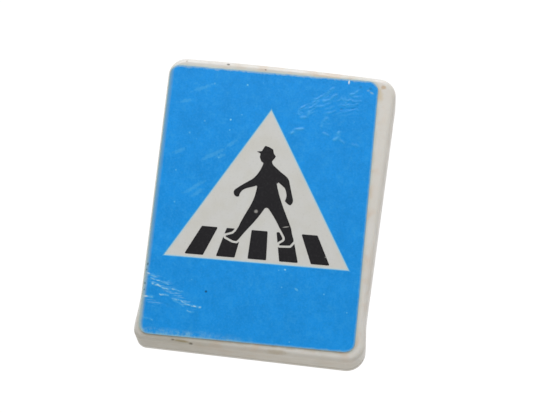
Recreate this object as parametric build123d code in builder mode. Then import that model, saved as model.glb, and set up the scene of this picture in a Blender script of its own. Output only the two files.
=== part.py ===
from build123d import *
import os
from math import cos, radians, sin, tan

os.makedirs("parts", exist_ok=True)

# Toy road sign head: a hollow two-part plastic plate that carries a pedestrian
# crossing label and clips onto a round post. Lengths in millimetres.
# Origin on the post's axis, half way up the clip. Front faces -Y, up is +Z.

# Plate outline, measured on the front face
plate_height = 40.5
top_width = 32.15
side_taper = 1.18            # degrees each side, the plate narrows downwards
top_crown = 0.25             # rise of the top edge at its middle
flare_width = 0.43           # how far each side turns out again above the lower corners
flare_height = 6.5           # from the start of the flare down to the bottom edge
corner_radius = 2.5
tight_corner_radius = 1.4    # lower left, moulded sharper than the others
least_corner = 0.2           # sharpest corner left inside the walls

# Plate section
plate_depth = 6.2            # front face to rear face
draft = 1.5                  # degrees, the walls open towards the back
face_wall = 1.4
rim_wall = 1.4
back_thickness = 1.5
edge_fillet = 0.7
rear_fillet = 0.35
joint_bevel = 0.12           # makes the fine groove where shell and back plate meet

# How the back plate seats in the front shell
lip_height = 1.2
lip_wall = 1.0
lip_clearance = 0.1
boss_lip_gap = 0.4           # boss to lip
boss_inset_z = 6.0           # boss axis to the top and bottom edges
boss_radius = 2.0
peg_radius = 1.0
peg_clearance = 0.05
peg_length = 2.4
peg_end_gap = 0.3
boss_gap = 0.1               # boss end to back plate

# Clip for the post
post_radius = 2.0
clip_clearance = 0.05
clip_wall = 1.1
clip_length = 12.0
clip_mouth = 112.0           # degrees left open at the rear
web_width = 3.0              # neck that carries the clip on the back plate
web_root = 0.3               # how far the neck is sunk into the back plate
post_gap = 1.6               # post to the back plate

# Label; the plate stays bare beside it, measured at mid-height
label_left_margin = 0.22
label_right_margin = 1.75
label_end_margin = 0.95      # label to the top and bottom edges of the plate
label_radius = 1.4
label_turn = 1.2             # degrees, the label sits slightly askew
label_offset_z = 0.08
film_thickness = 0.10
ink_thickness = 0.03

# Print on the label, drawn from its own middle and scaled to leave the margin beside the triangle
triangle_margin = 1.975      # blue at each side of the triangle
print_shift = 0.005          # middle of the print to the label's centre, along the label's width
print_turn = 0.4             # degrees, the print sits askew on its label
triangle_x = 0.2
triangle_base = 25.4
triangle_base_z = -8.15
stripe_count = 5
stripe_x = 0.25
stripe_top_z = -3.62
stripe_bottom_z = -7.68
stripe_top_pitch = 3.43
stripe_bottom_pitch = 4.34
stripe_top_width = 2.2
stripe_bottom_width = 2.55
stripe_corner = 0.12
keyline = 0.32               # white line left around the feet where they cross the stripes

# Shins and shoes of the walking figure, clockwise, from the middle of the print
rear_foot = [(4.5, -2.9), (4.7, -3.7), (5.0, -4.5), (5.0, -4.75), (4.55, -5.35), (3.15, -5.45)]
rear_foot += [(3.1, -5.25), (3.65, -4.85), (3.8, -4.6), (3.75, -4.25), (3.35, -3.6), (2.9, -2.95)]
lead_foot = [(-1.2, -3.2), (-1.9, -4.15), (-2.55, -5.1), (-2.8, -5.35), (-3.3, -5.3)]
lead_foot += [(-4.3, -4.85), (-4.3, -4.7), (-3.35, -4.35), (-3.0, -3.95), (-2.65, -3.2)]

# Depths along Y that the pieces share
rear_y = -(post_radius + post_gap)
joint_y = rear_y - back_thickness
front_y = rear_y - plate_depth
shell_depth = plate_depth - back_thickness
cavity_depth = shell_depth - face_wall
cavity_y = front_y + face_wall
shell_growth = shell_depth * tan(radians(draft))
cavity_growth = face_wall * tan(radians(draft))
rear_growth = plate_depth * tan(radians(draft))
lip_growth = shell_growth - rim_wall - lip_clearance - lip_height * tan(radians(draft))
bore_radius = post_radius + clip_clearance
mouth_x = 2 * (bore_radius + clip_wall) * sin(radians(clip_mouth / 2))
mouth_y = 2 * (bore_radius + clip_wall) * cos(radians(clip_mouth / 2))
label_width = top_width - plate_height * tan(radians(side_taper)) - label_left_margin - label_right_margin
label_height = plate_height - 2 * label_end_margin
label_x = (label_left_margin - label_right_margin) / 2
print_scale = (label_width - 2 * triangle_margin) / triangle_base
ink_y = front_y - film_thickness


def plate_outline(growth=0.0):
    """Plate outline, grown all round: crowned top, leaning sides that flare above the lower corners."""
    lean = tan(radians(side_taper))
    radius = max(corner_radius + growth, least_corner)
    tight = max(tight_corner_radius + growth, least_corner)
    top_z = plate_height / 2 + growth
    bottom_z = -top_z
    top_x = top_width / 2 + growth
    flare_z = flare_height - plate_height / 2
    flare_x = top_x - (plate_height / 2 - flare_z) * lean
    foot_x = top_x - plate_height * lean + flare_width
    foot_z = bottom_z + radius
    tight_z = bottom_z + tight
    inset = radius * (1 - cos(radians(45)))
    tight_inset = tight * (1 - cos(radians(45)))
    with BuildSketch() as outline:
        with BuildLine():
            Line((flare_x, flare_z), (top_x, top_z))
            ThreePointArc((top_x, top_z), (0, top_z + top_crown), (-top_x, top_z))
            Line((-top_x, top_z), (-flare_x, flare_z))
            Spline((-flare_x, flare_z), (-foot_x, tight_z), tangents=((lean, -1), (0, -1)))
            ThreePointArc(
                (-foot_x, tight_z),
                (tight_inset - foot_x, bottom_z + tight_inset),
                (tight - foot_x, bottom_z),
            )
            Line((tight - foot_x, bottom_z), (foot_x - radius, bottom_z))
            ThreePointArc((foot_x - radius, bottom_z), (foot_x - inset, bottom_z + inset), (foot_x, foot_z))
            Spline((foot_x, foot_z), (flare_x, flare_z), tangents=((0, 1), (-lean, 1)))
        make_face()
        fillet(outline.vertices().filter_by(lambda v: abs(v.Y - top_z) < 0.01), radius=radius)
    return outline.sketch


def upright(y):
    """Sketch plane facing the back of the sign, with its own X and Y on the row's X and Z."""
    return Plane(origin=(0, y, 0), x_dir=(1, 0, 0), z_dir=(0, -1, 0))


def label_plane(y):
    """Plane of a label layer, turned with the label about its centre."""
    return Plane(
        origin=(label_x, y, label_offset_z),
        x_dir=(cos(radians(label_turn)), 0, sin(radians(label_turn))),
        z_dir=(0, -1, 0),
    )


def print_plane():
    """Plane of the print: on top of the film, shifted and turned a little from the label."""
    return Plane(
        origin=label_plane(ink_y).from_local_coords((print_shift, 0, 0)),
        x_dir=(cos(radians(label_turn + print_turn)), 0, sin(radians(label_turn + print_turn))),
        z_dir=(0, -1, 0),
    )


def boss_places():
    """Boss axes: one set distance inside the plate's leaning sides, two above and two below."""
    inset_x = rim_wall + lip_clearance + lip_wall + boss_lip_gap + boss_radius
    places = []
    for z in (plate_height / 2 - boss_inset_z, boss_inset_z - plate_height / 2):
        side_x = top_width / 2 - (plate_height / 2 - z) * tan(radians(side_taper))
        places.append((side_x - inset_x, z))
        places.append((inset_x - side_x, z))
    return places


# Front shell: the face with a rim round it, open at the back, with four peg bosses
with BuildPart() as front_shell:
    with BuildSketch(upright(front_y)):
        add(plate_outline())
    with BuildSketch(upright(joint_y - joint_bevel)):
        add(plate_outline(shell_growth))
    with BuildSketch(upright(joint_y)):
        add(plate_outline(shell_growth - joint_bevel))
    loft(ruled=True)
    fillet(front_shell.faces().sort_by(Axis.Y)[0].outer_wire().edges(), radius=edge_fillet)
    with BuildSketch(upright(cavity_y)):
        add(plate_outline(cavity_growth - rim_wall))
    with BuildSketch(upright(joint_y)):
        add(plate_outline(shell_growth - rim_wall))
    loft(ruled=True, mode=Mode.SUBTRACT)
    with BuildSketch(upright(cavity_y)):
        with Locations(*boss_places()):
            Circle(boss_radius)
    extrude(amount=-(cavity_depth - boss_gap))
    with BuildSketch(upright(joint_y - boss_gap)):
        with Locations(*boss_places()):
            Circle(peg_radius + peg_clearance)
    extrude(amount=peg_length - boss_gap + peg_end_gap, mode=Mode.SUBTRACT)
front_shell.part.label = "front_shell"
export_step(front_shell.part, "parts/front_shell.step")

# Back plate: closes the shell, with a locating lip, four pegs and the post clip in one moulding
with BuildPart() as back_plate:
    with BuildSketch(upright(joint_y)):
        add(plate_outline(shell_growth - joint_bevel))
    with BuildSketch(upright(joint_y + joint_bevel)):
        add(plate_outline(shell_growth))
    with BuildSketch(upright(rear_y)):
        add(plate_outline(rear_growth))
    loft(ruled=True)
    fillet(back_plate.faces().sort_by(Axis.Y)[-1].outer_wire().edges(), radius=rear_fillet)
    with BuildSketch(upright(joint_y)):
        add(plate_outline(lip_growth))
        add(plate_outline(lip_growth - lip_wall), mode=Mode.SUBTRACT)
    extrude(amount=lip_height)
    with BuildSketch(upright(joint_y)):
        with Locations(*boss_places()):
            Circle(peg_radius)
    extrude(amount=peg_length)
    with BuildSketch(Plane.XY.offset(-clip_length / 2)):
        Circle(bore_radius + clip_wall)
        with BuildLine():
            Polyline((0, 0), (mouth_x, mouth_y), (-mouth_x, mouth_y), close=True)
        make_face(mode=Mode.SUBTRACT)
        with PolarLocations(bore_radius + clip_wall / 2, 2, 90 - clip_mouth / 2, clip_mouth, endpoint=True):
            Circle(clip_wall / 2)
        with Locations((0, (rear_y - web_root) / 2)):
            Rectangle(web_width, web_root - rear_y)
        Circle(bore_radius, mode=Mode.SUBTRACT)
    extrude(amount=clip_length)
back_plate.part.label = "back_plate"
export_step(back_plate.part, "parts/back_plate.step")

# Label film: the white base of the self-adhesive label
with BuildPart() as label_film:
    with BuildSketch(label_plane(front_y)):
        RectangleRounded(label_width, label_height, label_radius)
    extrude(amount=film_thickness)
label_film.part.label = "label_film"
export_step(label_film.part, "parts/label_film.step")


def triangle_outline():
    """Equilateral triangle that the print leaves white."""
    with BuildSketch() as triangle:
        with BuildLine():
            Polyline(
                (triangle_x - triangle_base / 2, triangle_base_z),
                (triangle_x + triangle_base / 2, triangle_base_z),
                (triangle_x, triangle_base_z + triangle_base * sin(radians(60))),
                close=True,
            )
        make_face()
    return scale(triangle.sketch, by=print_scale, mode=Mode.PRIVATE)


# Blue ground of the label, printed up to its edges round a triangular white window
with BuildPart() as label_blue_print:
    with BuildSketch(label_plane(ink_y)):
        RectangleRounded(label_width, label_height, label_radius)
    extrude(amount=ink_thickness)
    with BuildSketch(print_plane()):
        add(triangle_outline())
    extrude(amount=ink_thickness, mode=Mode.SUBTRACT)
label_blue_print.part.label = "label_blue_print"
export_step(label_blue_print.part, "parts/label_blue_print.step")


def pedestrian_outline():
    """Walking figure in a peaked cap, facing left, drawn limb by limb clockwise from the chin."""
    with BuildSketch() as figure:
        with BuildLine():
            Polyline((-0.15, 6.05), (-0.5, 6.3), (-0.75, 6.85), (-0.7, 7.4), (-1.2, 7.65))
            Polyline((-1.2, 7.65), (-0.55, 7.75), (-0.25, 8.4), (-0.1, 8.55), (0.45, 8.4), (1.0, 8.1))
            Polyline((1.0, 8.1), (1.15, 7.5), (1.45, 7.15), (1.3, 6.85), (1.0, 6.4))
            Spline((1.0, 6.4), (1.1, 6.05), (1.6, 5.55), (2.5, 4.85), (3.3, 4.25), (3.65, 3.7))
            Spline((3.65, 3.7), (3.95, 2.65), (4.3, 1.45), (4.4, 0.85), (4.05, 0.35), (3.7, 0.5), (3.3, 0.9))
            Spline((3.3, 0.9), (3.45, 1.5), (3.35, 2.15), (3.1, 2.7), (2.65, 3.1), (2.2, 3.45))
            Line((2.2, 3.45), (1.95, 3.25))
            Spline((1.95, 3.25), (2.15, 2.5), (2.5, 1.5), (3.5, -0.8), rear_foot[0])
            Polyline(*rear_foot)
            Spline(rear_foot[-1], (2.3, -1.95), (1.15, -0.4))
            Spline((1.15, -0.4), (0.85, -0.3), (0.6, -0.45))
            Spline((0.6, -0.45), (-0.5, -2.25), lead_foot[0])
            Polyline(*lead_foot)
            Spline(lead_foot[-1], (-1.9, -1.35), (-1.4, -0.25), (-1.0, 0.85), (-0.8, 1.8), (-0.7, 2.65))
            Line((-0.7, 2.65), (-0.85, 2.75))
            Spline((-0.85, 2.75), (-1.3, 2.55), (-2.45, 2.1), (-2.85, 1.7), (-3.05, 1.05))
            Spline((-3.05, 1.05), (-3.35, 0.95), (-3.65, 1.1), (-3.85, 1.5), (-3.7, 1.95))
            Spline((-3.7, 1.95), (-3.1, 2.45), (-2.15, 3.15), (-1.4, 3.7), (-0.9, 4.3), (-0.15, 6.05))
        make_face()
    return scale(figure.sketch, by=print_scale, mode=Mode.PRIVATE)


# Walking figure printed in black
with BuildPart() as label_pedestrian:
    with BuildSketch(print_plane()):
        add(pedestrian_outline())
    extrude(amount=ink_thickness)
label_pedestrian.part.label = "label_pedestrian"
export_step(label_pedestrian.part, "parts/label_pedestrian.step")


def stripe_outline(number):
    """One stripe of the crossing, wider and further out at its lower end."""
    place = number - (stripe_count - 1) / 2
    top_x = stripe_x + place * stripe_top_pitch
    bottom_x = stripe_x + place * stripe_bottom_pitch
    with BuildSketch() as stripe:
        with BuildLine():
            Polyline(
                (bottom_x - stripe_bottom_width / 2, stripe_bottom_z),
                (bottom_x + stripe_bottom_width / 2, stripe_bottom_z),
                (top_x + stripe_top_width / 2, stripe_top_z),
                (top_x - stripe_top_width / 2, stripe_top_z),
                close=True,
            )
        make_face()
        fillet(stripe.vertices(), radius=stripe_corner)
    return scale(stripe.sketch, by=print_scale, mode=Mode.PRIVATE)


def foot_clearance(foot):
    """One shin and shoe widened by the white line that parts it from the stripes."""
    with BuildSketch() as widened:
        with BuildLine():
            Polyline(*foot, close=True)
        make_face()
        offset(amount=keyline)
    return scale(widened.sketch, by=print_scale, mode=Mode.PRIVATE)


# Crossing stripes printed in black, spreading towards the viewer and cut clear of the feet
with BuildPart() as label_stripes:
    with BuildSketch(print_plane()):
        for number in range(stripe_count):
            add(stripe_outline(number))
        add(foot_clearance(rear_foot), mode=Mode.SUBTRACT)
        add(foot_clearance(lead_foot), mode=Mode.SUBTRACT)
    extrude(amount=ink_thickness)
label_stripes.part.label = "label_stripes"
export_step(label_stripes.part, "parts/label_stripes.step")
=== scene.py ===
import math

import bmesh
import bpy
from mathutils import Matrix, Quaternion, Vector, noise


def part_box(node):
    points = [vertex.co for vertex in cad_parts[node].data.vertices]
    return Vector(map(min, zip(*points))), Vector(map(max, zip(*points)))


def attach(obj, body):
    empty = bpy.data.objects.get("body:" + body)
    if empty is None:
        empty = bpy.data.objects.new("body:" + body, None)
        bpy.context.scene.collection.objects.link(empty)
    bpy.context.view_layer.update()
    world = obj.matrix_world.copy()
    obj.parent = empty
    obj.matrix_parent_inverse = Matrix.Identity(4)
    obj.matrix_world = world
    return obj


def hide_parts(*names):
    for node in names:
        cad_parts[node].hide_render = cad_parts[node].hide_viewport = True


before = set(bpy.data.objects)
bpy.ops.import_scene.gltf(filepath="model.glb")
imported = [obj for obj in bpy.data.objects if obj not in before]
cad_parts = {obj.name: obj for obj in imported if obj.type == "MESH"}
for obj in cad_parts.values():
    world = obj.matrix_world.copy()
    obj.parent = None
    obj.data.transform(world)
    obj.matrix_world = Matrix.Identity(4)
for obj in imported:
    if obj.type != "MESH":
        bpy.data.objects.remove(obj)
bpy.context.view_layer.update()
MM = 0.001

# --- Camera ------------------------------------------------------------------
# A long lens from a little below the sign and a touch to its right, tipped so
# that the sign leans over clockwise.
shell_low, shell_high = [Vector(corner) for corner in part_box("front_shell")]
camera_target = Vector((1.25 * MM, shell_low.y, 0.15 * MM))
camera_azimuth = math.radians(3.69)
camera_elevation = math.radians(-15.02)
camera_roll = math.radians(7.31)
camera_distance = 247.4 * MM
camera_backward = Vector((
    math.sin(camera_azimuth) * math.cos(camera_elevation),
    -math.cos(camera_azimuth) * math.cos(camera_elevation),
    math.sin(camera_elevation),
))
camera = bpy.data.objects.new("camera", bpy.data.cameras.new("camera"))
camera.data.lens = 117.8
camera.data.clip_start = 10 * MM
camera.rotation_mode = "QUATERNION"
camera_level = camera_backward.to_track_quat("Z", "Y")
camera.rotation_quaternion = camera_level @ Quaternion((0, 0, 1), camera_roll)
camera.location = camera_target + camera_backward * camera_distance
bpy.context.scene.collection.objects.link(camera)
bpy.context.scene.camera = camera
bpy.context.scene.view_settings.view_transform = "Standard"


# --- Studio: white light tent, one softbox and a floor ------------------------
# The sign hangs clear inside a light tent, with a softbox above and in front of it
# and matt paper on the floor.
def linear(hex_colour):
    """An sRGB hex colour as linear red, green, blue and alpha."""
    channels = [int(hex_colour[i:i + 2], 16) / 255 for i in (1, 3, 5)]
    light = [c / 12.92 if c <= 0.04045 else ((c + 0.055) / 1.055) ** 2.4 for c in channels]
    return (*light, 1.0)


def add_node(tree, kind, inputs=None, **settings):
    """Adds one node, sets its properties, then fills its sockets with values or links."""
    made = tree.nodes.new(kind)
    for name, value in settings.items():
        setattr(made, name, value)
    for socket, value in (inputs or {}).items():
        if isinstance(value, bpy.types.NodeSocket):
            tree.links.new(value, made.inputs[socket])
        else:
            made.inputs[socket].default_value = value
    return made


world = bpy.data.worlds.new("light_tent")
world.use_nodes = True
world.node_tree.nodes.clear()
tent = world.node_tree
tent_direction = add_node(tent, "ShaderNodeTexCoord")
tent_axes = add_node(tent, "ShaderNodeSeparateXYZ", {"Vector": tent_direction.outputs["Generated"]})
# The open front of the tent is dim, its back wall is bright and its floor is dimmer than its roof.
tent_depth = add_node(
    tent, "ShaderNodeMapRange",
    {"Value": tent_axes.outputs["Y"], "From Min": -0.6, "From Max": 0.3, "To Min": 0.32, "To Max": 1.04},
    interpolation_type="SMOOTHSTEP",
)
tent_rise = add_node(
    tent, "ShaderNodeMapRange",
    {"Value": tent_axes.outputs["Z"], "From Min": -0.35, "From Max": 0.05, "To Min": 0.62},
    interpolation_type="SMOOTHSTEP",
)
tent_level = add_node(
    tent, "ShaderNodeMath", {0: tent_depth.outputs[0], 1: tent_rise.outputs[0]}, operation="MULTIPLY",
)
tent_glow = add_node(
    tent, "ShaderNodeBackground", {"Color": linear("#FFFEFC"), "Strength": tent_level.outputs[0]},
)
# What the lens sees behind the sign is blown out to plain white.
tent_backdrop = add_node(tent, "ShaderNodeBackground", {"Color": linear("#FFFFFF"), "Strength": 1.05})
tent_ray = add_node(tent, "ShaderNodeLightPath")
tent_shown = add_node(
    tent, "ShaderNodeMixShader",
    {"Fac": tent_ray.outputs["Is Camera Ray"], 1: tent_glow.outputs[0], 2: tent_backdrop.outputs[0]},
)
add_node(tent, "ShaderNodeOutputWorld", {"Surface": tent_shown.outputs[0]})
bpy.context.scene.world = world

softbox = bpy.data.lights.new("softbox", "AREA")
softbox.shape = "RECTANGLE"
softbox.size = 260 * MM
softbox.size_y = 200 * MM
softbox.energy = 1.05
softbox_lamp = bpy.data.objects.new("softbox", softbox)
softbox_lamp.location = (-40 * MM, -250 * MM, 300 * MM)
softbox_lamp.rotation_euler = (-softbox_lamp.location).to_track_quat("-Z", "Y").to_euler()
bpy.context.scene.collection.objects.link(softbox_lamp)

floor_half = 3000 * MM
floor_z = -110 * MM
floor_mesh = bpy.data.meshes.new("floor")
floor_mesh.from_pydata(
    [(side_x * floor_half, side_y * floor_half, floor_z)
     for side_x, side_y in ((-1, -1), (1, -1), (1, 1), (-1, 1))],
    [], [(0, 1, 2, 3)],
)
floor = bpy.data.objects.new("floor", floor_mesh)
bpy.context.scene.collection.objects.link(floor)
floor_paper = bpy.data.materials.new("matt_background_paper")
floor_paper.use_nodes = True
floor_surface = floor_paper.node_tree.nodes["Principled BSDF"]
floor_surface.inputs["Base Color"].default_value = linear("#CBC8C2")
floor_surface.inputs["Roughness"].default_value = 0.9
floor_mesh.materials.append(floor_paper)


# --- Front shell -------------------------------------------------------------
# Injection-moulded polystyrene tray, once white and now aged to a warm off-white,
# handled and a little stained. The label is stuck on its face.
film_low, film_high = [Vector(corner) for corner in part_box("label_film")]
label_middle = (film_low + film_high) / 2
label_turn = math.radians(1.2)
to_label = Matrix.Rotation(label_turn, 4, "Y") @ Matrix.Translation(-label_middle)
film_places = [to_label @ vert.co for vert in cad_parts["label_film"].data.vertices]
label_half = Vector((max(place.x for place in film_places), 0.0, max(place.z for place in film_places)))
label_corner = 1.4 * MM


def label_places(tree):
    """Object coordinates moved to the label's centre and turned square to it, in metres."""
    here = add_node(tree, "ShaderNodeTexCoord")
    return add_node(
        tree, "ShaderNodeMapping",
        {"Vector": here.outputs["Object"], "Location": label_middle, "Rotation": (0.0, -label_turn, 0.0)},
        vector_type="TEXTURE",
    ).outputs[0]


def label_edge_distance(tree, places):
    """Distance from the label's rounded outline: below zero on the label, above zero around it."""
    folded = add_node(tree, "ShaderNodeVectorMath", {0: places}, operation="ABSOLUTE")
    # The large middle number keeps depth out of the distance.
    inset = (label_half.x - label_corner, 1.0, label_half.z - label_corner)
    past = add_node(tree, "ShaderNodeVectorMath", {0: folded.outputs[0], 1: inset}, operation="SUBTRACT")
    outside = add_node(
        tree, "ShaderNodeVectorMath", {0: past.outputs[0], 1: (0, 0, 0)}, operation="MAXIMUM",
    )
    reach = add_node(tree, "ShaderNodeVectorMath", {0: outside.outputs[0]}, operation="LENGTH")
    sides = add_node(tree, "ShaderNodeSeparateXYZ", {"Vector": past.outputs[0]})
    nearest = add_node(
        tree, "ShaderNodeMath", {0: sides.outputs["X"], 1: sides.outputs["Z"]}, operation="MAXIMUM",
    )
    inside = add_node(tree, "ShaderNodeMath", {0: nearest.outputs[0], 1: 0.0}, operation="MINIMUM")
    signed = add_node(
        tree, "ShaderNodeMath", {0: reach.outputs["Value"], 1: inside.outputs[0]}, operation="ADD",
    )
    return add_node(
        tree, "ShaderNodeMath", {0: signed.outputs[0], 1: label_corner}, operation="SUBTRACT",
    ).outputs[0]


def mark(tree, places, x, z, width, height, turn=0.0, ragged=0.5, face=0.0, deep=1.0):
    """Mask of one small ragged mark, 1 at its middle and 0 outside it.

    x and z are its middle and width and height are half sizes, in millimetres, and turn is in
    degrees. face and deep, in metres, are the depth that it lies at and half its thickness.
    """
    moved = add_node(
        tree, "ShaderNodeMapping",
        {
            "Vector": places,
            "Location": (x * MM, face, z * MM),
            "Rotation": (0, -math.radians(turn), 0),
            "Scale": (width * MM, deep, height * MM),
        },
        vector_type="TEXTURE",
    )
    breakup = add_node(
        tree, "ShaderNodeTexNoise", {"Vector": places, "Scale": 1 / (0.35 * MM), "Detail": 2.0},
    )
    far = add_node(tree, "ShaderNodeVectorMath", {0: moved.outputs[0]}, operation="LENGTH")
    torn = add_node(
        tree, "ShaderNodeMath",
        {0: breakup.outputs[0], 1: ragged, 2: far.outputs["Value"]}, operation="MULTIPLY_ADD",
    )
    # The noise is about a half on average, and that much is allowed for.
    usual = 0.5 * ragged
    return add_node(
        tree, "ShaderNodeMapRange",
        {
            "Value": torn.outputs[0],
            "From Min": 0.3 + usual, "From Max": 1.0 + usual, "To Min": 1.0, "To Max": 0.0,
        },
        interpolation_type="SMOOTHSTEP",
    ).outputs[0]


# A Mix node's colour inputs share their names with its number inputs, so they go by position.
MIX_FIRST, MIX_SECOND, MIX_RESULT = 6, 7, 2


def tint(tree, colour, masks, hex_colour, strength=1.0):
    """The colour mixed towards another where all of the masks are high."""
    share = strength
    for mask in masks:
        share = add_node(
            tree, "ShaderNodeMath", {0: mask, 1: share}, operation="MULTIPLY", use_clamp=True,
        ).outputs[0]
    return add_node(
        tree, "ShaderNodeMix",
        {"Factor": share, MIX_FIRST: colour, MIX_SECOND: linear(hex_colour)}, data_type="RGBA",
    ).outputs[MIX_RESULT]


def aged_polystyrene(name, dirt_line):
    """Moulded polystyrene gone off-white: cloudy yellowing, fine scratches and grime in the joint."""
    material = bpy.data.materials.new(name)
    material.use_nodes = True
    tree = material.node_tree
    surface = tree.nodes["Principled BSDF"]
    here = add_node(tree, "ShaderNodeTexCoord").outputs["Object"]
    # Yellowing drifts over about 9 mm, with a finer cloud of about 2 mm inside it.
    drift = add_node(tree, "ShaderNodeTexNoise", {"Vector": here, "Scale": 1 / (9 * MM), "Detail": 2.0})
    cloud = add_node(
        tree, "ShaderNodeTexNoise",
        {"Vector": here, "Scale": 1 / (2.2 * MM), "Detail": 4.0, "Roughness": 0.6},
    )
    drift_mask = add_node(
        tree, "ShaderNodeMapRange", {"Value": drift.outputs[0], "From Min": 0.35, "From Max": 0.65},
    )
    cloud_mask = add_node(
        tree, "ShaderNodeMapRange",
        {"Value": cloud.outputs[0], "From Min": 0.45, "From Max": 0.70, "To Max": 0.45},
    )
    colour = tint(tree, linear("#DBDAD8"), (drift_mask.outputs[0],), "#D7D4CE")
    colour = tint(tree, colour, (cloud_mask.outputs[0],), "#D0CCC5")
    # Grime lodges in specks of about 0.3 mm and along the joint of the two mouldings.
    specks = add_node(
        tree, "ShaderNodeTexVoronoi", {"Vector": here, "Scale": 1 / (3.4 * MM)}, feature="F1",
    )
    speck_mask = add_node(
        tree, "ShaderNodeMapRange",
        {"Value": specks.outputs[0], "From Min": 0.02, "From Max": 0.06, "To Min": 1.0, "To Max": 0.0},
    )
    colour = tint(tree, colour, (speck_mask.outputs[0],), "#8E7F6A", 0.55)
    axes = add_node(tree, "ShaderNodeSeparateXYZ", {"Vector": here})
    off_joint = add_node(
        tree, "ShaderNodeMath", {0: axes.outputs["Y"], 1: dirt_line}, operation="SUBTRACT",
    )
    near_joint = add_node(tree, "ShaderNodeMath", {0: off_joint.outputs[0]}, operation="ABSOLUTE")
    joint_mask = add_node(
        tree, "ShaderNodeMapRange",
        {
            "Value": near_joint.outputs[0],
            "From Min": 0.03 * MM, "From Max": 0.22 * MM, "To Min": 1.0, "To Max": 0.0,
        },
    )
    colour = tint(tree, colour, (joint_mask.outputs[0],), "#7E7263", 0.7)
    tree.links.new(colour, surface.inputs["Base Color"])
    # Scratches from handling: about 0.1 mm wide, some 4 mm long, lying two ways.
    scratches = None
    for angle in (25.0, -55.0):
        stretched = add_node(
            tree, "ShaderNodeMapping",
            {
                "Vector": here,
                "Rotation": (0, math.radians(angle), 0),
                "Scale": (1 / (4 * MM), 1 / (4 * MM), 1 / (0.18 * MM)),
            },
        )
        lines = add_node(
            tree, "ShaderNodeTexNoise", {"Vector": stretched.outputs[0], "Scale": 1.0, "Detail": 1.0},
        )
        line = add_node(
            tree, "ShaderNodeMapRange", {"Value": lines.outputs[0], "From Min": 0.66, "From Max": 0.72},
        )
        scratches = line.outputs[0] if scratches is None else add_node(
            tree, "ShaderNodeMath", {0: scratches, 1: line.outputs[0]}, operation="MAXIMUM",
        ).outputs[0]
    # The steel mould left a faint orange peel of about 0.6 mm, and the scratches are cut into it.
    peel = add_node(tree, "ShaderNodeTexNoise", {"Vector": here, "Scale": 1 / (0.6 * MM), "Detail": 2.0})
    relief = add_node(
        tree, "ShaderNodeMath", {0: scratches, 1: -0.6, 2: peel.outputs[0]}, operation="MULTIPLY_ADD",
    )
    bump = add_node(
        tree, "ShaderNodeBump", {"Strength": 0.35, "Distance": 0.03 * MM, "Height": relief.outputs[0]},
    )
    tree.links.new(bump.outputs[0], surface.inputs["Normal"])
    polish = add_node(
        tree, "ShaderNodeMapRange",
        {"Value": cloud.outputs[0], "From Min": 0.3, "From Max": 0.7, "To Min": 0.36, "To Max": 0.52},
    )
    tree.links.new(polish.outputs[0], surface.inputs["Roughness"])
    surface.inputs["IOR"].default_value = 1.59
    surface.inputs["Subsurface Weight"].default_value = 0.12
    surface.inputs["Subsurface Radius"].default_value = (0.9, 0.7, 0.5)
    surface.inputs["Subsurface Scale"].default_value = 0.6 * MM
    return material, tree, surface, here, colour


joint_depth = shell_high.y
shell_plastic, shell_tree, shell_surface, shell_here, shell_colour = aged_polystyrene(
    "aged_moulded_polystyrene", joint_depth,
)
shell_places = label_places(shell_tree)
shell_sides = add_node(shell_tree, "ShaderNodeSeparateXYZ", {"Vector": shell_places})
# Painted shadow of the label's raised edge shows as a grey-blue line just outside the label's edge,
# with patches of dirt beyond it, which are darkest below the label.
label_rim = label_edge_distance(shell_tree, shell_places)
rim_shadow = add_node(
    shell_tree, "ShaderNodeMapRange",
    {"Value": label_rim, "From Max": 0.35 * MM, "To Min": 1.0, "To Max": 0.0},
)
rim_dirt = add_node(
    shell_tree, "ShaderNodeMapRange",
    {"Value": label_rim, "From Min": 0.2 * MM, "From Max": 0.5 * MM, "To Min": 1.0, "To Max": 0.0},
)
rim_patches = add_node(
    shell_tree, "ShaderNodeTexNoise", {"Vector": shell_here, "Scale": 1 / (1.6 * MM), "Detail": 3.0},
)
rim_share = add_node(
    shell_tree, "ShaderNodeMapRange",
    {"Value": rim_patches.outputs[0], "From Min": 0.38, "From Max": 0.62, "To Min": 0.15},
)
below = add_node(
    shell_tree, "ShaderNodeMapRange",
    {"Value": shell_sides.outputs["Z"], "From Min": -17 * MM, "From Max": -19 * MM},
)
rim_masks = (rim_dirt.outputs[0], rim_share.outputs[0])
# Painted shadow: the plastic is darkened to grey-blue just outside the label's edge.
shell_colour = tint(shell_tree, shell_colour, (rim_shadow.outputs[0],), "#BFCFCD", 0.85)
shell_colour = tint(shell_tree, shell_colour, rim_masks, "#C2B7A6", 0.3)
shell_colour = tint(shell_tree, shell_colour, (*rim_masks, below.outputs[0]), "#A89A84", 0.4)
# Warm stains of 2 mm or so spread from the label's edge, but not on the left.
rust_cloud = add_node(
    shell_tree, "ShaderNodeTexNoise", {"Vector": shell_here, "Scale": 1 / (2.4 * MM), "Detail": 2.0},
)
rust_spread = add_node(
    shell_tree, "ShaderNodeMapRange", {"Value": rust_cloud.outputs[0], "From Min": 0.50, "From Max": 0.66},
)
rust_near = add_node(
    shell_tree, "ShaderNodeMapRange",
    {"Value": label_rim, "From Min": 0.3 * MM, "From Max": 1.6 * MM, "To Min": 1.0, "To Max": 0.0},
)
rust_side = add_node(
    shell_tree, "ShaderNodeMapRange",
    {"Value": shell_sides.outputs["X"], "From Min": -9 * MM, "From Max": -5 * MM},
)
rust_masks = (rust_spread.outputs[0], rust_near.outputs[0], rust_side.outputs[0])
shell_colour = tint(shell_tree, shell_colour, rust_masks, "#D2B69B", 0.45)
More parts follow.
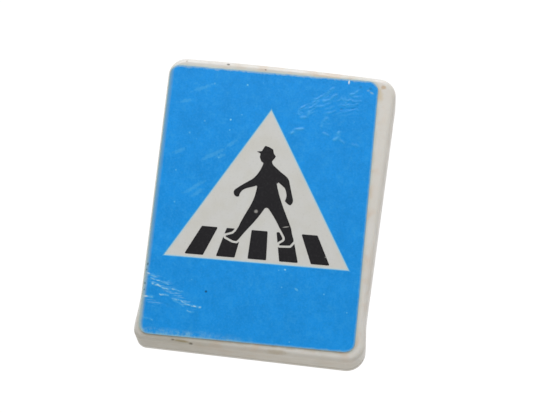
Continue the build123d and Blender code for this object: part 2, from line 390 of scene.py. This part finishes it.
# Painted shade: the lower margin and the underside are darkened towards the bottom, more on the left.
painted_shade_side = add_node(
    shell_tree, "ShaderNodeMapRange",
    {"Value": shell_sides.outputs["X"], "From Min": 6 * MM, "From Max": -10 * MM},
)
painted_shade_low = add_node(
    shell_tree, "ShaderNodeMapRange",
    {"Value": shell_sides.outputs["Z"], "From Min": -16 * MM, "From Max": -20 * MM},
)
painted_shade_masks = (painted_shade_side.outputs[0], painted_shade_low.outputs[0])
# Painted shade, darker towards the bottom and towards the left.
shell_colour = tint(shell_tree, shell_colour, painted_shade_masks, "#A8A498", 0.42)
stain_deep = 0.9 * MM
# Rusty spots by the top right corner, a dash with dark ends and a dull patch under the label, and
# two chips on the top edge: middle and half size in mm, tilt in degrees, colour and strength.
for x, z, width, height, turn, stain, strength in (
    (14.2, 19.0, 0.5, 0.42, 0, "#BC9C72", 0.7),
    (13.6, 17.9, 0.9, 1.6, 20, "#C8B48E", 0.55),
    (-9.0, -19.95, 1.5, 0.22, -3, "#A09370", 0.8),
    (-10.2, -19.9, 0.35, 0.18, 0, "#5F5947", 0.7),
    (-7.7, -20.15, 0.4, 0.2, 0, "#575040", 0.8),
    (-7.8, 19.95, 0.34, 0.2, 0, "#4B4540", 0.9),
    (-2.5, 19.75, 0.2, 0.14, 0, "#8A6A5C", 0.8),
    (3.9, -20.0, 2.2, 0.5, 2, "#B5A78F", 0.5),
):
    stain_mask = mark(shell_tree, shell_here, x, z, width, height, turn, face=shell_low.y, deep=stain_deep)
    shell_colour = tint(shell_tree, shell_colour, (stain_mask,), stain, strength)
shell_tree.links.new(shell_colour, shell_surface.inputs["Base Color"])
front_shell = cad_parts["front_shell"]
front_shell.data.materials.clear()
front_shell.data.materials.append(shell_plastic)


# --- Back plate --------------------------------------------------------------
# Second moulding in the same polystyrene, pressed into the shell, with the clip
# for the post moulded on.
back_plastic, back_tree, back_surface, back_here, back_colour = aged_polystyrene(
    "aged_moulded_polystyrene_back", joint_depth,
)
plate_wall = 1.5 * MM
rear_face = joint_depth + plate_wall
grime_deep = 1.6 * MM
# Grime sits round the clip's neck, and thumbs have greyed the plate below it and beside it:
# middle and half size in mm, tilt in degrees, raggedness, colour and strength.
for x, z, width, height, turn, ragged, grime, strength in (
    (0.0, 0.0, 3.3, 7.6, 0, 0.6, "#9C9180", 0.5),
    (4.0, -13.0, 9.0, 5.5, 15, 1.3, "#B8B1A3", 0.4),
    (-10.5, 4.0, 4.5, 8.0, -10, 1.3, "#BDB6A8", 0.35),
):
    grime_mask = mark(back_tree, back_here, x, z, width, height, turn, ragged, rear_face, grime_deep)
    back_colour = tint(back_tree, back_colour, (grime_mask,), grime, strength)
back_tree.links.new(back_colour, back_surface.inputs["Base Color"])
back_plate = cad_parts["back_plate"]
back_plate.data.materials.clear()
back_plate.data.materials.append(back_plastic)


# --- Label film --------------------------------------------------------------
# White coated paper with an adhesive back, stuck on by hand. It shows in the triangle and
# at the cut edges. Its left edge curls over the shell's rounded edge, down to where the
# plate flares out.

# The curl's radius, where it starts, how much of the bend is taken and how far round it goes.
curl_radius = 0.7 * MM
curl_start = -label_half.x + 0.52 * MM
curl_share = 0.75
curl_limit = 0.94 * curl_radius
# The curl fades away downwards and is gone at this height.
curl_end_z = -13.5 * MM
flare_fade = 3.0 * MM
# The cuts that let it bend: how many, and how far apart as a length or as a share of the fade.
curl_cuts, curl_cut_step = 7, 0.08 * MM
flare_cuts, flare_cut_share = 12, 0.4
# A face looks forwards if the Y of its normal is below this.
forward_limit = -0.5


def cut(layer, axis, place, geometry=None):
    """Cuts a layer, or only some of its geometry, across an axis at a place in metres.

    It returns the geometry after the cut, for the next one.
    """
    point, normal = Vector((0, 0, 0)), Vector((0, 0, 0))
    point[axis], normal[axis] = place, 1
    if geometry is None:
        geometry = layer.verts[:] + layer.edges[:] + layer.faces[:]
    return bmesh.ops.bisect_plane(layer, geom=geometry, plane_co=point, plane_no=normal)["geom"]


def label_layer(node_name, creased=()):
    """Copy of one label layer, cut finely where it bends, with its left edge curled back."""
    layer = bmesh.new()
    layer.from_mesh(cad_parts[node_name].data)
    layer.transform(to_label)
    for step in range(curl_cuts):
        cut(layer, 0, curl_start - step * curl_cut_step)
    for step in range(flare_cuts):
        cut(layer, 2, curl_end_z + (1 - step * flare_cut_share) * flare_fade)
    for low, high, pitch in creased:
        for axis, limit in ((0, low[0]), (0, high[0]), (2, low[1]), (2, high[1])):
            cut(layer, axis, limit * MM)
        cells = []
        for face in layer.faces:
            middle = face.calc_center_median() / MM
            within = low[0] < middle.x < high[0] and low[1] < middle.z < high[1]
            if within and face.normal.y < forward_limit:
                cells.append(face)
        geometry = list(dict.fromkeys(item for face in cells for item in (*face.verts, *face.edges, face)))
        for axis, start, end in ((0, low[0], high[0]), (2, low[1], high[1])):
            for step in range(1, int((end - start) / pitch)):
                geometry = cut(layer, axis, (start + step * pitch) * MM, geometry)
    for vert in layer.verts:
        past = min(max(curl_start - vert.co.x, 0.0), curl_limit)
        hold = min(max((vert.co.z - curl_end_z) / flare_fade, 0.0), 1.0)
        vert.co.y += curl_share * hold * (curl_radius - math.sqrt(curl_radius ** 2 - past ** 2))
    return layer


def label_piece(layer, piece_name, node_name):
    """The bent layer as a piece that stands for its node."""
    layer.transform(to_label.inverted())
    mesh = bpy.data.meshes.new(piece_name)
    layer.to_mesh(mesh)
    layer.free()
    piece = bpy.data.objects.new(piece_name, mesh)
    bpy.context.scene.collection.objects.link(piece)
    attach(piece, "root")
    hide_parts(node_name)
    return piece


def printed_paper(name):
    """Coated label paper: a smooth satin coat over fibres."""
    material = bpy.data.materials.new(name)
    material.use_nodes = True
    tree = material.node_tree
    surface = tree.nodes["Principled BSDF"]
    here = add_node(tree, "ShaderNodeTexCoord").outputs["Object"]
    # Paper fibres are about 0.02 mm wide and are drawn in clumps of 0.3 mm so that they show.
    fibres = add_node(
        tree, "ShaderNodeTexNoise",
        {"Vector": here, "Scale": 1 / (0.3 * MM), "Detail": 4.0, "Roughness": 0.65},
    )
    bump = add_node(
        tree, "ShaderNodeBump", {"Strength": 0.25, "Distance": 0.02 * MM, "Height": fibres.outputs[0]},
    )
    tree.links.new(bump.outputs[0], surface.inputs["Normal"])
    sheen = add_node(
        tree, "ShaderNodeMapRange",
        {"Value": fibres.outputs[0], "From Min": 0.35, "From Max": 0.65, "To Min": 0.30, "To Max": 0.42},
    )
    tree.links.new(sheen.outputs[0], surface.inputs["Roughness"])
    surface.inputs["IOR"].default_value = 1.40
    surface.inputs["Specular IOR Level"].default_value = 0.36
    return material, tree, surface, here, fibres.outputs[0]


# The triangular window's corners are the blue print's only ones well inside its outline.
side_margin, end_margin = 1 * MM, 3 * MM
blue_corners = [to_label @ vert.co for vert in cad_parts["label_blue_print"].data.vertices]
window = [
    place for place in blue_corners
    if abs(place.x) < label_half.x - side_margin and abs(place.z) < label_half.z - end_margin
]
window_apex = max(window, key=lambda place: place.z)
window_left = min(window, key=lambda place: place.x)
window_right = max(window, key=lambda place: place.x)


def window_edge_distance(tree, places):
    """Distance from the triangular window's edges: below zero inside it, above zero on the blue."""
    furthest = None
    for start, end in (
        (window_left, window_apex), (window_apex, window_right), (window_right, window_left),
    ):
        along = (end - start).normalized()
        outward = Vector((-along.z, 0, along.x))
        past = add_node(tree, "ShaderNodeVectorMath", {0: places, 1: start}, operation="SUBTRACT")
        reach = add_node(
            tree, "ShaderNodeVectorMath", {0: past.outputs[0], 1: outward}, operation="DOT_PRODUCT",
        ).outputs["Value"]
        furthest = reach if furthest is None else add_node(
            tree, "ShaderNodeMath", {0: furthest, 1: reach}, operation="MAXIMUM",
        ).outputs[0]
    return furthest


film_paper, film_tree, film_surface, film_here, film_fibres = printed_paper("white_coated_label_paper")
film_cloud = add_node(
    film_tree, "ShaderNodeTexNoise", {"Vector": film_here, "Scale": 1 / (2.5 * MM), "Detail": 3.0},
)
film_aged = add_node(
    film_tree, "ShaderNodeMapRange", {"Value": film_cloud.outputs[0], "From Min": 0.4, "From Max": 0.65},
)
film_colour = tint(film_tree, linear("#D3D4D3"), (film_aged.outputs[0],), "#D0D0CC")
film_grain = add_node(
    film_tree, "ShaderNodeMapRange", {"Value": film_fibres, "From Min": 0.55, "From Max": 0.75},
)
film_colour = tint(film_tree, film_colour, (film_grain.outputs[0],), "#BFC0BD", 0.6)
# The blue ink has bled a little into the paper along the window's edges.
film_gap = window_edge_distance(film_tree, label_places(film_tree))
film_bleed = add_node(
    film_tree, "ShaderNodeMapRange", {"Value": film_gap, "From Min": -0.24 * MM, "From Max": 0.0},
)
film_colour = tint(film_tree, film_colour, (film_bleed.outputs[0],), "#AEDBEC", 0.85)
film_tree.links.new(film_colour, film_surface.inputs["Base Color"])
label_paper = label_piece(label_layer("label_film"), "label_paper", "label_film")
label_paper.data.materials.append(film_paper)


# --- Blue print --------------------------------------------------------------
# Solid blue offset ink on the label paper. Handling has creased it at the upper right
# and rubbed it through at the lower left, and its edges are worn back to the paper.

# Creased fields: lower left and upper right corner from the label's centre, and pitch, in mm.
crease_fields = (((-14.7, -18.0), (-5.4, -10.2), 0.13), ((2.9, 9.3), (13.3, 18.9), 0.13))
# Rubs and creases: points across and up from the label's centre, half width in mm, height in
# mm (a furrow is negative) and how far the ink is worn off.
rubs = (
    (((-14.4, -11.0), (-13.3, -11.2)), 0.1, 0.03, 0.6),
    (((-13.8, -11.6), (-12.9, -11.9), (-11.3, -12.3)), 0.09, 0.03, 0.85),
    (((-13.5, -12.4), (-12.8, -12.5), (-11.3, -13.1)), 0.1, 0.03, 0.9),
    (((-11.1, -12.9), (-9.3, -13.1)), 0.09, 0.03, 0.8),
    (((-12.3, -13.7), (-11.1, -13.9)), 0.1, 0.03, 0.95),
    (((-14.5, -14.3), (-13.2, -14.2)), 0.13, 0.03, 0.75),
    (((-10.6, -14.2), (-9.7, -14.3), (-8.5, -14.8), (-6.6, -15.1)), 0.1, 0.03, 0.95),
    (((-10.5, -14.4), (-9.4, -14.9), (-9.0, -15.1)), 0.1, 0.02, 0.6),
    (((-8.4, -15.7), (-7.5, -15.8)), 0.1, 0.02, 0.65),
    (((-14.2, -17.1), (-12.9, -17.4)), 0.09, 0.02, 0.45),
    (((-14.2, -14.6), (-12.1, -14.8), (-10.4, -15.4)), 0.16, -0.02, 0.05),
    (((5.9, 15.5), (6.8, 16.3), (7.5, 16.8), (8.4, 17.7)), 0.2, 0.04, 0.26),
    (((6.4, 15.4), (7.2, 16.0), (8.0, 16.9)), 0.14, -0.03, 0.0),
    (((3.8, 13.5), (4.3, 14.5), (5.1, 15.0)), 0.2, 0.04, 0.22),
    (((4.3, 13.1), (4.9, 13.2), (5.4, 13.9)), 0.22, 0.04, 0.3),
    (((4.2, 13.9), (4.9, 14.3), (5.5, 14.9)), 0.14, -0.03, 0.0),
    (((4.9, 14.4), (5.6, 14.7), (6.6, 15.6)), 0.18, 0.03, 0.2),
    (((7.2, 15.7), (8.0, 16.0), (8.8, 16.9)), 0.2, 0.04, 0.26),
    (((6.1, 14.9), (7.1, 15.0), (7.8, 15.4)), 0.18, 0.03, 0.2),
    (((9.5, 15.3), (11.0, 15.5), (12.0, 15.8)), 0.18, 0.03, 0.22),
    (((9.7, 14.8), (10.8, 14.9), (11.8, 15.3)), 0.14, -0.03, 0.0),
    (((10.3, 15.8), (10.2, 16.5)), 0.2, 0.04, 0.4),
    (((9.6, 16.5), (10.2, 16.0), (10.9, 16.3)), 0.17, 0.03, 0.26),
    (((10.9, 17.1), (11.9, 17.7)), 0.17, 0.03, 0.2),
    (((11.3, 16.8), (12.2, 16.8)), 0.16, 0.03, 0.16),
    (((11.2, 16.2), (12.4, 16.2)), 0.16, 0.03, 0.16),
    (((3.1, 10.7), (3.7, 11.2), (4.7, 11.5)), 0.18, 0.05, 0.42),
    (((7.5, 12.9), (7.9, 13.3)), 0.18, 0.03, 0.3),
    (((7.2, 12.0), (7.3, 12.5)), 0.16, 0.02, 0.26),
    (((9.2, 10.3), (9.8, 10.6), (9.7, 11.4)), 0.2, 0.04, 0.4),
    (((9.8, 10.6), (10.5, 9.9)), 0.18, 0.03, 0.34),
    (((7.6, 11.1), (8.3, 10.9)), 0.18, 0.03, 0.26),
    (((11.8, 9.9), (12.6, 9.7)), 0.16, 0.03, 0.2),
)
# A rub strays from its drawn line in slow and in quick bends, each with its waves per mm and its
# reach in mm, and it has faded out at three half widths from there.
rub_bends = ((1.1, 0.16), (4.0, 0.05))
stray_across = Vector((9.3, 0.0, 4.7))
stray_up = Vector((-6.1, 0.0, 2.9))
rub_faded = 3
# Puckers at the upper right run in arcs across and up, warped a little and only in patches. Sizes
# are in mm, and warps are waves per mm and how many spacings they shift the arcs.
pucker_middle = Vector((8.3, 0.0, 15.2))
pucker_reach = (5.6, 3.4)
pucker_spacing = 0.62
pucker_height = 0.03
pucker_slope = 0.45
pucker_warps = ((0.35, 1.4), (0.9, 0.5))
pucker_wear = 0.45
patch_rate = 0.8
patch_shift = Vector((7.0, 0.0, 3.0))
patch_bias = 0.25
# Every rub, crease and pucker is stronger and weaker along its length, from nothing to a fifth
# over its full wear, and flattens out over 0.3 mm at its field's edge.
strength_usual = 0.8
strength_waves = ((2.2, 0.8), (8.0, 0.4))
strength_most = 1.2
relief_least = 0.2
field_fade = 0.3


def waves(spot, parts):
    """Noise at a spot, added up from parts that each have a number of waves per mm and a height."""
    return sum(height * noise.noise(spot * rate) for rate, height in parts)


def field_inset(spot):
    """How far a spot in millimetres lies inside a creased field: zero or less outside them."""
    return max(
        min(spot.x - low[0], high[0] - spot.x, spot.z - low[1], high[1] - spot.z)
        for low, high, pitch in crease_fields
    )


def rubs_at(spot):
    """Height of the rubs and creases at a spot, and how far the ink is worn off by them."""
    place = Vector((
        spot.x + sum(reach * noise.noise(spot * rate + stray_across) for rate, reach in rub_bends),
        0.0,
        spot.z + sum(reach * noise.noise(spot * rate + stray_up) for rate, reach in rub_bends),
    ))
    raised, wear = 0.0, 0.0
    for points, half_width, height, rubbed in rubs:
        for start, end in zip(points, points[1:]):
            start, end = Vector((start[0], 0, start[1])), Vector((end[0], 0, end[1]))
            along = max(0.0, min(1.0, (place - start).dot(end - start) / (end - start).length_squared))
            distance = (place - start.lerp(end, along)).length / half_width
            if distance < rub_faded:
                profile = math.exp(-distance * distance)
                raised = max(raised, height * profile) if height > 0 else min(raised, height * profile)
                wear = max(wear, rubbed * profile)
    return raised, wear


def puckers_at(spot):
    """Height of the puckers at a spot, and how far the ink is worn off their ridges."""
    off = spot - pucker_middle
    reach = (off.x / pucker_reach[0]) ** 2 + (off.z / pucker_reach[1]) ** 2
    if reach >= 1:
        return 0.0, 0.0
    phase = (off.z - pucker_slope * off.x) / pucker_spacing + waves(spot, pucker_warps)
    patch = max(0.0, noise.noise(spot * patch_rate + patch_shift) + patch_bias)
    ridge = 0.5 + 0.5 * math.sin(2 * math.pi * phase)
    return pucker_height * patch * (1 - reach) * ridge, pucker_wear * patch * (1 - reach) * ridge ** 3


blue_layer = label_layer("label_blue_print", crease_fields)
worn = blue_layer.verts.layers.float.new("ink_worn")
for vert in blue_layer.verts:
    spot = vert.co / MM
    inset = field_inset(spot)
    if inset <= 0:
        continue
    rub_height, rub_wear = rubs_at(spot)
    pucker, pucker_worn = puckers_at(spot)
    strength = strength_usual + waves(spot, strength_waves)
    raised = (rub_height + pucker) * max(relief_least, min(strength_most, strength + relief_least))
    vert[worn] = max(rub_wear, pucker_worn) * max(0.0, min(strength_most, strength))
    vert.co.y -= raised * min(1.0, inset / field_fade) * MM
label_print = label_piece(blue_layer, "label_print", "label_blue_print")

blue_ink, blue_tree, blue_surface, blue_here, blue_fibres = printed_paper("blue_offset_print_on_label_paper")
blue_places = label_places(blue_tree)
blue_sides = add_node(blue_tree, "ShaderNodeSeparateXYZ", {"Vector": blue_places})
# The ink film is a touch uneven, in clouds of about 3 mm, with paper grain showing through.
blue_cloud = add_node(
    blue_tree, "ShaderNodeTexNoise",
    {"Vector": blue_here, "Scale": 1 / (3 * MM), "Detail": 3.0, "Roughness": 0.6},
)
blue_uneven = add_node(
    blue_tree, "ShaderNodeMapRange", {"Value": blue_cloud.outputs[0], "From Min": 0.35, "From Max": 0.65},
)
blue_colour = tint(blue_tree, linear("#0C96EF"), (blue_uneven.outputs[0],), "#0890E6")
pale_grain = add_node(
    blue_tree, "ShaderNodeMapRange", {"Value": blue_fibres, "From Min": 0.5, "From Max": 0.8},
)
blue_colour = tint(blue_tree, blue_colour, (pale_grain.outputs[0],), "#33A4EE", 0.6)
dark_grain = add_node(
    blue_tree, "ShaderNodeMapRange", {"Value": blue_fibres, "From Min": 0.45, "From Max": 0.25},
)
blue_colour = tint(blue_tree, blue_colour, (dark_grain.outputs[0],), "#0A84D2", 0.6)
# Handling has left it mottled in patches of about 0.8 mm, some paler and greener, some darker.
blue_mottle = add_node(
    blue_tree, "ShaderNodeTexNoise",
    {"Vector": blue_here, "Scale": 1 / (0.8 * MM), "Detail": 5.0, "Roughness": 0.7},
)
mottle_pale = add_node(
    blue_tree, "ShaderNodeMapRange", {"Value": blue_mottle.outputs[0], "From Min": 0.50, "From Max": 0.78},
)
mottle_dark = add_node(
    blue_tree, "ShaderNodeMapRange", {"Value": blue_mottle.outputs[0], "From Min": 0.48, "From Max": 0.25},
)
blue_colour = tint(blue_tree, blue_colour, (mottle_pale.outputs[0],), "#45B2EC", 0.32)
blue_colour = tint(blue_tree, blue_colour, (mottle_dark.outputs[0],), "#0C84C6", 0.3)
# Pinholes in the ink, about 0.2 mm across.
pinholes = add_node(blue_tree, "ShaderNodeTexVoronoi", {"Vector": blue_here, "Scale": 1 / (2.6 * MM)})
pinhole_mask = add_node(
    blue_tree, "ShaderNodeMapRange",
    {"Value": pinholes.outputs[0], "From Min": 0.03, "From Max": 0.06, "To Min": 1.0, "To Max": 0.0},
)
blue_colour = tint(blue_tree, blue_colour, (pinhole_mask.outputs[0],), "#62C4F4", 0.55)
# Where the ink is rubbed thin it turns pale blue, then white.
blue_worn = add_node(blue_tree, "ShaderNodeAttribute", attribute_name="ink_worn").outputs["Fac"]
worn_pale = add_node(blue_tree, "ShaderNodeMapRange", {"Value": blue_worn, "From Max": 0.5})
worn_white = add_node(blue_tree, "ShaderNodeMapRange", {"Value": blue_worn, "From Min": 0.4})
blue_colour = tint(blue_tree, blue_colour, (worn_pale.outputs[0],), "#56BAF0", 0.6)
blue_colour = tint(blue_tree, blue_colour, (worn_white.outputs[0],), "#C4E6F4", 0.85)
# Round the rubs at the lower left the ink is combed into fine pale streaks 0.2 mm wide: middle
# and half size in mm, tilt in degrees and strength.
combed = add_node(
    blue_tree, "ShaderNodeMapping",
    {
        "Vector": blue_places,
        "Rotation": (0, math.radians(-22), 0),
        "Scale": (1 / (1.8 * MM), 1 / (1.8 * MM), 1 / (0.22 * MM)),
    },
)
comb_lines = add_node(
    blue_tree, "ShaderNodeTexNoise",
    {"Vector": combed.outputs[0], "Scale": 1.0, "Detail": 3.0, "Roughness": 0.6},
)
comb_line = add_node(
    blue_tree, "ShaderNodeMapRange", {"Value": comb_lines.outputs[0], "From Min": 0.50, "From Max": 0.68},
)
for x, z, width, height, turn, strength in (
    (-12.4, -12.1, 2.8, 1.0, -22, 0.8),
    (-9.5, -14.1, 3.2, 0.8, -27, 0.8),
    (-13.0, -14.9, 1.6, 0.7, -14, 0.4),
):
    comb_patch = mark(blue_tree, blue_places, x, z, width, height, turn)
    blue_colour = tint(blue_tree, blue_colour, (comb_patch, comb_line.outputs[0]), "#8FD2F5", strength)
# The ink thins out towards the window, where the printing plates met.
blue_gap = window_edge_distance(blue_tree, blue_places)
blue_thin = add_node(
    blue_tree, "ShaderNodeMapRange", {"Value": blue_gap, "From Min": 0.15 * MM, "From Max": 0.0},
)
blue_colour = tint(blue_tree, blue_colour, (blue_thin.outputs[0],), "#74C4E8", 0.8)
# The cut edge is worn back towards the paper in a soft, ragged line.
edge_gap = label_edge_distance(blue_tree, blue_places)
edge_ragged = add_node(
    blue_tree, "ShaderNodeTexNoise",
    {"Vector": blue_here, "Scale": 1 / (0.9 * MM), "Detail": 4.0, "Roughness": 0.6},
)
edge_torn = add_node(
    blue_tree, "ShaderNodeMath",
    {0: edge_ragged.outputs[0], 1: 0.4 * MM, 2: edge_gap}, operation="MULTIPLY_ADD",
)
edge_mask = add_node(
    blue_tree, "ShaderNodeMapRange",
    {"Value": edge_torn.outputs[0], "From Min": -0.06 * MM, "From Max": 0.28 * MM},
)
blue_colour = tint(blue_tree, blue_colour, (edge_mask.outputs[0],), "#96C0C8", 0.65)
# Along the top the torn edge bites a little deeper and shows the paper.
top_side = add_node(
    blue_tree, "ShaderNodeMapRange",
    {
        "Value": blue_sides.outputs["Z"],
        "From Min": label_half.z - 0.9 * MM, "From Max": label_half.z - 0.5 * MM,
    },
)
top_ragged = add_node(
    blue_tree, "ShaderNodeTexNoise",
    {"Vector": blue_here, "Scale": 1 / (0.6 * MM), "Detail": 4.0, "Roughness": 0.6},
)
top_torn = add_node(
    blue_tree, "ShaderNodeMath",
    {0: top_ragged.outputs[0], 1: 0.7 * MM, 2: edge_gap}, operation="MULTIPLY_ADD",
)
top_bites = add_node(
    blue_tree, "ShaderNodeMapRange",
    {"Value": top_torn.outputs[0], "From Min": 0.02 * MM, "From Max": 0.44 * MM},
)
blue_colour = tint(blue_tree, blue_colour, (top_bites.outputs[0], top_side.outputs[0]), "#B9D2CE", 0.7)
# On the left the label curls over the edge and is rubbed grey, and low down it is whitest.
left_curl = add_node(
    blue_tree, "ShaderNodeMapRange",
    {
        "Value": blue_sides.outputs["X"],
        "From Min": -label_half.x + 0.64 * MM, "From Max": -label_half.x + 0.16 * MM,
    },
)
blue_colour = tint(blue_tree, blue_colour, (left_curl.outputs[0],), "#86AAB6", 0.65)
left_wide = add_node(
    blue_tree, "ShaderNodeMapRange",
    {"Value": edge_torn.outputs[0], "From Min": -0.25 * MM, "From Max": 0.15 * MM},
)
left_side = add_node(
    blue_tree, "ShaderNodeMapRange",
    {
        "Value": blue_sides.outputs["X"],
        "From Min": -label_half.x + 1.0 * MM, "From Max": -label_half.x + 0.5 * MM,
    },
)
left_low = add_node(
    blue_tree, "ShaderNodeMapRange",
    {"Value": blue_sides.outputs["Z"], "From Min": -3 * MM, "From Max": -14 * MM},
)
left_masks = (left_wide.outputs[0], left_side.outputs[0], left_low.outputs[0])
blue_colour = tint(blue_tree, blue_colour, left_masks, "#A9BFC2", 0.9)
# Along the bottom it is scuffed in patches up to 1 mm above the edge, mostly on the left.
low_left = add_node(
    blue_tree, "ShaderNodeMapRange",
    {"Value": blue_sides.outputs["X"], "From Min": 2 * MM, "From Max": -8 * MM},
)
low_edge = add_node(
    blue_tree, "ShaderNodeMapRange",
    {
        "Value": blue_sides.outputs["Z"],
        "From Min": -label_half.z + 1.1 * MM, "From Max": -label_half.z + 0.1 * MM,
    },
)
low_patches = add_node(
    blue_tree, "ShaderNodeTexNoise",
    {"Vector": blue_here, "Scale": 1 / (1.1 * MM), "Detail": 5.0, "Roughness": 0.7},
)
low_scuffed = add_node(
    blue_tree, "ShaderNodeMapRange", {"Value": low_patches.outputs[0], "From Min": 0.40, "From Max": 0.75},
)
low_masks = (low_left.outputs[0], low_edge.outputs[0], low_scuffed.outputs[0])
blue_colour = tint(blue_tree, blue_colour, low_masks, "#9FD3D8", 0.9)
streak_half_width = 0.38
streak_ragged = 1.3
# Faint pale streaks on the left, all leaning the same way: middle and half length in mm, and tilt.
for x, z, half_length, turn in (
    (-7.2, 6.7, 2.6, 31), (-6.2, 6.5, 1.0, 23), (-9.4, 1.7, 2.2, 36), (-11.9, 14.1, 1.2, 18),
    (-9.8, 16.2, 2.0, 25), (-12.0, 6.8, 1.3, 29), (-8.9, 0.9, 1.4, 40), (-5.0, 8.4, 1.2, 35),
):
    streak = mark(blue_tree, blue_places, x, z, half_length, streak_half_width, turn, streak_ragged)
    blue_colour = tint(blue_tree, blue_colour, (streak,), "#5CBDEF", 0.26)
chip_ragged = 0.35
# Single chips and specks in the ink, a few spots of dirt and dark nicks down the left edge:
# middle and half size in mm, tilt in degrees, colour and strength.
for x, z, width, height, turn, chip, strength in (
    (10.5, 18.9, 0.17, 0.4, -5, "#D8EAF2", 1.0),
    (13.8, 17.6, 0.4, 0.22, -25, "#86BCD6", 0.6),
    (13.3, 17.9, 0.3, 0.2, 10, "#86BCD6", 0.45),
    (-3.6, 17.2, 0.18, 0.2, 0, "#6FD0F6", 0.8),
    (-8.2, 17.0, 0.2, 0.2, 0, "#62BFEF", 0.5),
    (-10.9, 9.5, 0.2, 0.2, 0, "#62BFEF", 0.5),
    (-9.0, 11.4, 0.2, 0.2, 0, "#62BFEF", 0.5),
    (12.2, 18.3, 0.3, 0.3, 0, "#12709C", 0.35),
    (13.6, 18.2, 0.35, 0.3, 0, "#12709C", 0.4),
    (-5.4, 11.9, 0.19, 0.19, 0, "#7AD4F8", 0.9),
    (4.3, -8.75, 0.2, 0.16, 0, "#8CDAFA", 0.9),
    (6.1, -11.35, 0.42, 0.22, -35, "#5DBDF0", 0.7),
    (-6.1, -12.8, 0.24, 0.22, 0, "#0B4A6E", 0.9),
    (-14.45, -9.7, 0.18, 0.3, 0, "#3E6270", 0.8),
    (-14.5, -10.5, 0.15, 0.2, 0, "#3E6270", 0.6),
    (-14.5, -12.4, 0.15, 0.25, 0, "#3E6270", 0.7),
    (-14.5, -13.3, 0.15, 0.2, 0, "#3E6270", 0.6),
    (-14.2, -14.2, 0.5, 0.16, 0, "#C9DFE8", 0.7),
    (-14.2, -11.0, 0.35, 0.15, -15, "#C9DFE8", 0.6),
):
    chip_mask = mark(blue_tree, blue_places, x, z, width, height, turn, chip_ragged)
    blue_colour = tint(blue_tree, blue_colour, (chip_mask,), chip, strength)
blue_tree.links.new(blue_colour, blue_surface.inputs["Base Color"])
label_print.data.materials.append(blue_ink)


# --- Black print: the walking figure and the crossing stripes ------------------
# Dense black ink on the coated paper, with rubbed specks and one small crack.
black_ink, black_tree, black_surface, _, black_fibres = printed_paper("black_print_on_label_paper")
black_grain = add_node(
    black_tree, "ShaderNodeMapRange", {"Value": black_fibres, "From Min": 0.52, "From Max": 0.78},
)
black_colour = tint(black_tree, linear("#1B1A1E"), (black_grain.outputs[0],), "#2B2A2E")
black_places = label_places(black_tree)
rub_ragged = 0.3
for x, z, width, height, turn, rubbed, strength in (
    (-0.5, -0.95, 0.34, 0.34, 0, "#A9A8A5", 0.75),
    (3.8, -2.77, 0.62, 0.09, 12, "#B4B3AF", 0.8),
    (9.6, -6.5, 0.14, 0.14, 0, "#A9A8A5", 0.6),
):
    rub_mask = mark(black_tree, black_places, x, z, width, height, turn, rub_ragged)
    black_colour = tint(black_tree, black_colour, (rub_mask,), rubbed, strength)
black_tree.links.new(black_colour, black_surface.inputs["Base Color"])
for node_name in ("label_pedestrian", "label_stripes"):
    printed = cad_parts[node_name]
    printed.data.materials.clear()
    printed.data.materials.append(black_ink)
